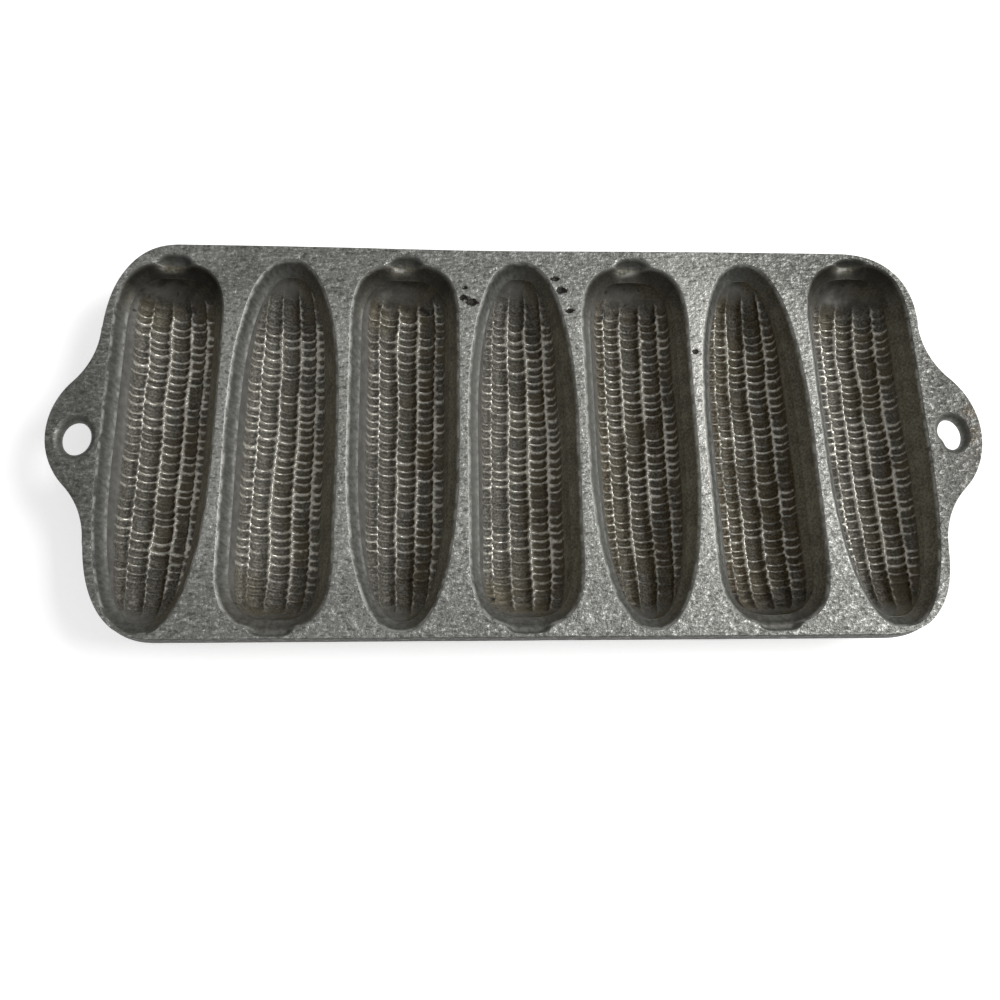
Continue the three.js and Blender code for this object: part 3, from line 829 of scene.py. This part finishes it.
def mouth_sides(plate, place):
    """Rings of a mouth, from the deck over its rounded lip and down its drafted side."""
    corner_side = place["corner_side"]
    lip_outline = mouth_outline(**MOUTH, longer=place["longer"], corner_side=corner_side)
    foot_outline = mouth_outline(**DRAFT_FOOT, longer=place["longer"], corner_side=corner_side)
    lip, foot = even_steps(lip_outline, OUTLINE_STEP, foot_outline)
    lip = lip @ place["axes"].T + place["middle"]
    foot = foot @ place["axes"].T + place["middle"]
    away = outward(lip)
    stray = CORNER_LIP_STRAY if corner_side else LIP_STRAY
    drift = [stray * noise.noise((x * 80.0, y * 80.0, 2.0)) for x, y in lip]
    lip = lip + away * np.array(drift)[:, None]
    edge = lip + away * (CORNER_LIP_ROUND if corner_side else LIP_ROUND)
    edge_height = deck_height(edge)
    lip_height = deck_height(lip)
    inner = lip + (foot - lip) * LIP_SHARE
    inner_height = lip_height + (DECK_BOTTOM - lip_height) * LIP_SHARE
    residue, smoked_and_shaded, pale_patch = draft_marks(lip, away, place)
    in_stem = stem_depth(edge, share_only=True)
    on_left = (away[:, 0] < -0.6) & (np.abs(foot[:, 1]) < 50.0 * MM)
    rings = []
    for share in (0.0, 0.25, 0.5, 0.75, 1.0):
        weights = ((1 - share) ** 2, 2 * share * (1 - share), share ** 2)
        xy = weights[0] * edge + weights[1] * lip + weights[2] * inner
        height = weights[0] * edge_height + weights[1] * lip_height + weights[2] * inner_height
        worn_lip = (1.0 - abs(2.0 * share - 1.0)) * (1.0 - in_stem) * (1.0 - 0.7 * smoked_and_shaded)
        rings.append(plate.ring(
            xy, height, wall=np.maximum(share, in_stem), residue=residue,
            lip=np.maximum(worn_lip, 0.9 * share * pale_patch),
            soot=smoked_and_shaded * max(share, 0.3) * (1.0 - share * pale_patch) ** 2))
    for share in (0.36, 0.5, 0.64, 0.78, 0.9, 1.0):
        hollow = DRAFT_HOLLOW * math.sin(math.pi * (share - LIP_SHARE) / (1.0 - LIP_SHARE))
        xy = lip + (foot - lip) * share + away * hollow
        height = lip_height + (DECK_BOTTOM - lip_height) * share
        # painted highlight along the foot of the walls that face the window
        foot_highlight = np.where(on_left, FOOT_HIGHLIGHT, 0.0) if share > 0.8 else 0.0
        wear_and_highlight = np.maximum(foot_highlight, pale_patch * max(0.0, 1.0 - 2.0 * (share - LIP_SHARE)))
        soot = smoked_and_shaded * (1.0 - wear_and_highlight) ** 2
        rings.append(plate.ring(xy, height, wall=1.0, lip=wear_and_highlight, residue=residue, soot=soot))
    return rings


def hole_sides(plate, hole):
    """Rings of a hanging hole with round rims, narrowed where the casting left flash."""
    turn = np.linspace(0.0, 2.0 * math.pi, 72, endpoint=False)
    plain = np.column_stack((np.cos(turn), np.sin(turn))) * hole["half"]
    flash = hole["flash"] * np.exp(-((turn - FLASH_TURN) / FLASH_WIDTH) ** 2)
    narrowed = plain * (1.0 - flash)[:, None]
    middle = DECK_TOP - PLATE * 0.5
    rings = []
    for lift in np.radians((90, 68, 46, 24, 0, -24, -46, -68, -90)):
        swell = 1.0 - math.cos(lift)
        throat = narrowed * (1.0 - swell) + plain * swell
        xy = throat + outward(plain) * HOLE_RIM * swell + np.array(hole["place"])
        rings.append(plate.ring(xy, middle + PLATE * 0.5 * math.sin(lift), wall=math.cos(lift)))
    return rings


def plate_mesh():
    """The deck and both ears as one closed mesh."""
    plate = Plate()
    sides = [plate_sides(plate)]
    sides += [mouth_sides(plate, place) for place in mould_places]
    sides += [hole_sides(plate, hole) for hole in HOLES]
    for rings in sides:
        for first, second in zip(rings, rings[1:]):
            plate.band(first, second)
    loose = hex_points(GRAIN_STEP)
    for place in mould_places:
        stem, start, reach = stem_of(place)
        x, y = ((loose - place["middle"]) @ place["axes"]).T
        in_length = (y < start + 2 * MM) & (y > start - reach * 1.05)
        loose = loose[~((np.abs(x) < stem["half"] * 1.05) & in_length)]
    loose = np.vstack([loose] + [stem_points(place) for place in mould_places])
    tops = [rings[0] for rings in sides]
    bottoms = [rings[-1] for rings in sides]
    plate.fill(tops, loose, deck_height, deck_marks)
    plate.fill(bottoms, hex_points(UNDERSIDE_STEP), lambda xy: DECK_BOTTOM, lambda xy: {})
    return plate.mesh("plate")


def cut_plate(whole, name, planes):
    """One piece of the plate, closed where it was cut off the rest."""
    shape = bmesh.new()
    shape.from_mesh(whole)
    bmesh.ops.recalc_face_normals(shape, faces=shape.faces)
    for place, normal in planes:
        everything = shape.verts[:] + shape.edges[:] + shape.faces[:]
        cut = bmesh.ops.bisect_plane(
            shape, geom=everything, dist=1e-7, plane_co=(place, 0, 0), plane_no=(normal, 0, 0),
            clear_outer=True)
        rim = [item for item in cut["geom_cut"] if isinstance(item, bmesh.types.BMEdge)]
        bmesh.ops.holes_fill(shape, edges=rim, sides=0)
    bmesh.ops.triangulate(shape, faces=[face for face in shape.faces if len(face.verts) > 4])
    for face in shape.faces:
        face.smooth = True
    for edge in shape.edges:
        if edge.calc_face_angle(0.0) > math.radians(60):
            edge.smooth = False
    mesh = bpy.data.meshes.new(name)
    shape.to_mesh(mesh)
    shape.free()
    piece = bpy.data.objects.new(name, mesh)
    bpy.context.collection.objects.link(piece)
    return piece


def cast_aluminium():
    """Grainy cast skin on the deck and smoother skin on the drafted sides, with soot and worn lips, and
    painted shade, highlights, sheen and bounce light.
    """
    material, tree, shader, place = new_material("cast_aluminium")
    across = Wire.node(tree, "ShaderNodeSeparateXYZ", {}, {"Vector": place})
    deep = across.output("Y")
    from_middle = across.math("ABSOLUTE")
    from_axis = deep.math("ABSOLUTE")
    grain = sand_grain(tree, place)
    coarse = noise_at(tree, place, 300.0, 2.0)
    patch = noise_at(tree, place, 22.0, 3.0)
    light = grain.step(0.5, 0.64)
    dark = grain.step(0.36, 0.46, 1.0, 0.0)
    wall = attribute(tree, "wall")
    wall = wall + (grain - 0.5) * 5.0 * wall * (1.0 - wall)
    wall = wall.math("MAXIMUM", 0.0).math("MINIMUM", 1.0)
    rough_skin = 1.0 - wall

    # The deck, dull at the ends and the far side and bright in the middle, with a painted sheen right of
    # the middle
    dull_far = deep.step(45.0 * MM, 66.0 * MM) * (0.16 + 0.3 * across.step(0.0, 130.0 * MM))
    dull_near = deep.step(-40.0 * MM, -60.0 * MM) * across.step(40.0 * MM, 90.0 * MM) * 0.12
    dull_ends = 0.65 + 0.17 * across.step(-100.0 * MM, 100.0 * MM)
    dull_ends = from_middle.step(140.0 * MM, 156.0 * MM) * dull_ends
    dull = dull_ends.math("MAXIMUM", dull_far.math("MAXIMUM", dull_near))
    polished = from_axis.step(35.0 * MM, 60.0 * MM, 1.0, 0.0)
    polished = polished * from_middle.step(120.0 * MM, 145.0 * MM, 1.0, 0.0)
    # painted sheen: a pale patch right of the middle of the deck stands in for a reflection
    sheen_patch = bell(across - 66.0 * MM, 19.0 * MM) * bell(deep - 18.0 * MM, 52.0 * MM)
    stain = bell(across - 165.5 * MM, 3.5 * MM) * bell(deep - 3.0 * MM, 11.0 * MM)
    # pale grain specks, partly sand grain and partly painted glints, a little stronger towards the lit
    # right
    bright = light * rough_skin * across.step(-140.0 * MM, 30.0 * MM, 0.5, 0.64) * (1.0 - 0.7 * dull)
    base = mixed(tree, patch.step(0.35, 0.65), *DECK_SKIN)
    base = mixed(tree, dull, base, DULL)
    base = mixed(tree, polished * 0.5, base, POLISHED)
    base = mixed(tree, sheen_patch * 0.85, base, PAINTED_SHEEN)
    base = mixed(tree, stain * coarse.step(0.4, 0.6) * 0.7, base, EAR_STAIN)
    base = mixed(tree, dark * rough_skin * 0.62, base, GRAIN_DARK)
    base = mixed(tree, bright, base, GRAIN_LIGHT)

    # The drafted sides, with marks from drawing the pattern out of the sand
    drag = Wire.node(tree, "ShaderNodeMapping", {}, {"Vector": place, "Scale": (700.0, 700.0, 140.0)})
    drag_marks = noise_at(tree, drag, 1.0, 3.0, 0.6)
    clean = bell(across, 35.0 * MM) * from_axis.step(35.0 * MM, 60.0 * MM, 0.5, 0.0)
    left_end = across.step(-120.0 * MM, -138.0 * MM) * 0.35
    smooth_skin = mixed(tree, drag_marks.step(0.3, 0.72), *DRAFT_SKIN)
    smooth_skin = mixed(tree, clean, smooth_skin, CLEAN_DRAFT)
    smooth_skin = mixed(tree, left_end, smooth_skin, LEFT_END_DRAFT)
    # old fat on the sides that face away from the window, lightened as painted bounce light
    smooth_skin = mixed(tree, attribute(tree, "residue"), smooth_skin, grease_and_bounce_light(tree, place))
    base = mixed(tree, wall, base, smooth_skin)

    # Worn lips with painted highlights, black pits, and soot and painted shade over both
    pitted = attribute(tree, "pitted")
    ragged = noise_at(tree, place, 520.0, 3.0, 0.7) - 0.5
    holes = (pitted + ragged * 1.6).step(0.5, 0.66) * pitted.step(0.02, 0.2)
    # soot and painted shade from the marks, with the black pits
    soot = (attribute(tree, "soot") * coarse.step(0.2, 0.6, 0.85, 1.0)).math("MAXIMUM", holes)
    base = mixed(tree, attribute(tree, "lip") * coarse.step(0.4, 0.62) * 0.75, base, WORN_LIP_AND_HIGHLIGHT)
    base = mixed(tree, soot, base, DECK_SOOT_AND_SHADE)
    join(base, shader.inputs["Base Color"])
    join(0.7 - 0.1 * wall, shader.inputs["Metallic"])
    join(0.56 - 0.1 * light, shader.inputs["Roughness"])
    relief = (grain + 0.4 * coarse) * rough_skin + drag_marks * wall * 0.15
    bump = Wire.node(tree, "ShaderNodeBump", {}, {"Strength": 1.0, "Distance": 0.9 * MM, "Height": relief})
    join(bump, shader.inputs["Normal"])
    return material


CAST = cast_aluminium()
whole_plate = plate_mesh()
plate_pieces = (
    ("deck", "deck_plate", ((-EAR_ROOT, -1), (EAR_ROOT, 1))),
    ("ear_left", "ear_handle_left", ((-EAR_ROOT, 1),)),
    ("ear_right", "ear_handle_right", ((EAR_ROOT, -1),)))
for name, node, planes in plate_pieces:
    piece = cut_plate(whole_plate, name, planes)
    piece.data.materials.append(CAST)
    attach(piece, "root")
    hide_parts(node)
bpy.data.meshes.remove(whole_plate)


# Floor and light
# A plain pale floor that glows enough to come out white, with one wide soft window of light high
# on the right and a weak even light from all round.
FLOOR_HALF = 3.0
FLOOR_COLOUR = (0.92, 0.92, 0.92, 1)
FLOOR_GLOW = 0.55
WHITE = (1, 1, 1, 1)
ROUND_LIGHT = 0.34
WINDOW_PLACE = (1.85, 0.35, 1.5)
WINDOW_SIZE = 1.5
WINDOW_POWER = 58.0

floor_corners = [(x * FLOOR_HALF, y * FLOOR_HALF, 0) for x, y in ((-1, -1), (1, -1), (1, 1), (-1, 1))]
floor_mesh = bpy.data.meshes.new("floor")
floor_mesh.from_pydata(floor_corners, [], [(0, 1, 2, 3)])
floor = bpy.data.objects.new("floor", floor_mesh)
bpy.context.collection.objects.link(floor)
floor_material = bpy.data.materials.new("floor")
floor_material.use_nodes = True
floor_look = floor_material.node_tree.nodes["Principled BSDF"].inputs
floor_look["Base Color"].default_value = FLOOR_COLOUR
floor_look["Emission Color"].default_value = WHITE
floor_look["Emission Strength"].default_value = FLOOR_GLOW
floor_look["Roughness"].default_value = 0.9
floor_mesh.materials.append(floor_material)

world = bpy.data.worlds.new("world")
bpy.context.scene.world = world
world.use_nodes = True
world.node_tree.nodes["Background"].inputs["Color"].default_value = WHITE
world.node_tree.nodes["Background"].inputs["Strength"].default_value = ROUND_LIGHT

window_data = bpy.data.lights.new("window", "AREA")
window_data.size = WINDOW_SIZE
window_data.energy = WINDOW_POWER
window = bpy.data.objects.new("window", window_data)
window.location = WINDOW_PLACE
window.rotation_euler = (-Vector(WINDOW_PLACE)).to_track_quat("-Z", "Y").to_euler()
bpy.context.collection.objects.link(window)
bpy.context.scene.view_settings.view_transform = "Standard"
